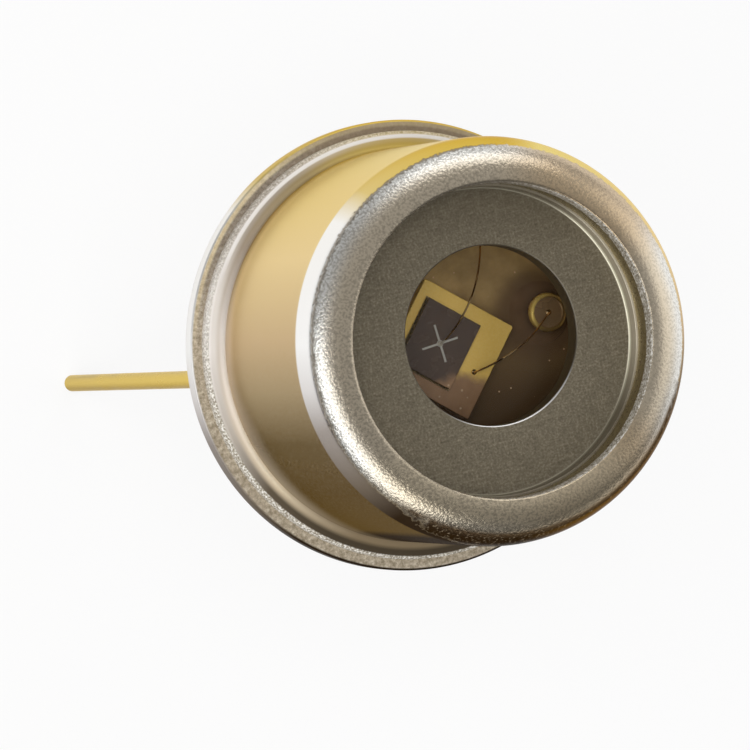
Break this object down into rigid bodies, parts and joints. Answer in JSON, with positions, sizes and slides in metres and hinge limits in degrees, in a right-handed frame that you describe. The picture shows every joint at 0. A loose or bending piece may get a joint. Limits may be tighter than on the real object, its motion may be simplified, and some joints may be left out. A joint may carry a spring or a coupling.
{
  "type": "uv photodiode",
  "caption": "Ultraviolet photodiode in a round flanged metal can with a recessed aperture window, a chip on a gold carrier inside and straight leads below.",
  "frame": {"origin": "centre of the header's seating face, on the optical axis", "axes": "+Z along the optical axis towards the window, leads down along -Z, +X from the case lead to the signal lead"},
  "size_m": [0.0092, 0.0092, 0.0234],
  "materials": {
    "header_plating": "satin gold plating",
    "bead_glass": "glossy sealing glass",
    "lead_gold": "polished gold plating",
    "solder": "satin",
    "carrier_gold": "satin gold plating",
    "chip_die": "polished",
    "contact_metal": "satin",
    "wire_gold": "polished",
    "can_nickel": "satin nickel plating",
    "disc_matte": "matte grey",
    "seal_glass": "satin",
    "window": "clear polished"
  },
  "bodies": {
    "root": {"header": "header_plating", "glass_bead": "bead_glass", "signal_lead": "lead_gold", "case_lead": "lead_gold", "carrier_solder": "solder", "carrier": "carrier_gold", "chip_solder": "solder", "chip": "chip_die", "chip_contact": "contact_metal", "chip_wire": "wire_gold", "carrier_wire": "wire_gold", "cap": "can_nickel", "disc_seal": "solder", "aperture_disc": "disc_matte", "window_seal": "seal_glass", "window_glass": "window"}
  },
  "joints": []
}
